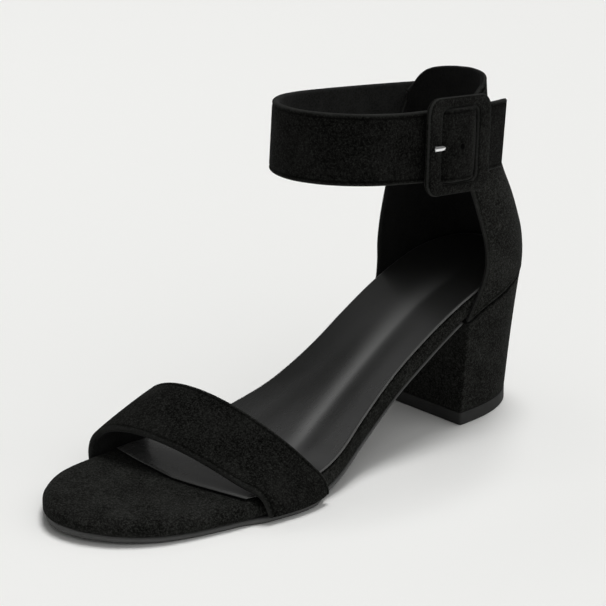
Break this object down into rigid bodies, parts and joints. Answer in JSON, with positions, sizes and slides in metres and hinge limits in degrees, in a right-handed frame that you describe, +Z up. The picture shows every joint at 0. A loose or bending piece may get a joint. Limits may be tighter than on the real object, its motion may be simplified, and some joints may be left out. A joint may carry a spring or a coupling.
{
  "type": "block heel sandal",
  "caption": "Left open-toe sandal with a block heel, wide toe strap, closed back and buckled ankle strap, in black suede.",
  "frame": {"origin": "on the floor under the middle of the shoe's length and width", "axes": "+Y runs from toe to heel, +X to the wearer's left (outer, buckle side), +Z up"},
  "size_m": [0.0902, 0.2306, 0.1436],
  "materials": {
    "suede": "matte nap",
    "rubber": "matte",
    "top_piece": "matte",
    "lining": "satin",
    "steel": "polished"
  },
  "bodies": {
    "root": {"outsole": "rubber", "footbed": "suede", "sock": "lining", "toe_strap": "suede", "counter": "suede", "ankle_strap": "suede", "buckle_frame": "suede", "buckle_bar": "steel", "prong": "steel", "buckle_tab": "suede", "heel_block": "suede", "heel_tip": "top_piece"}
  },
  "joints": []
}
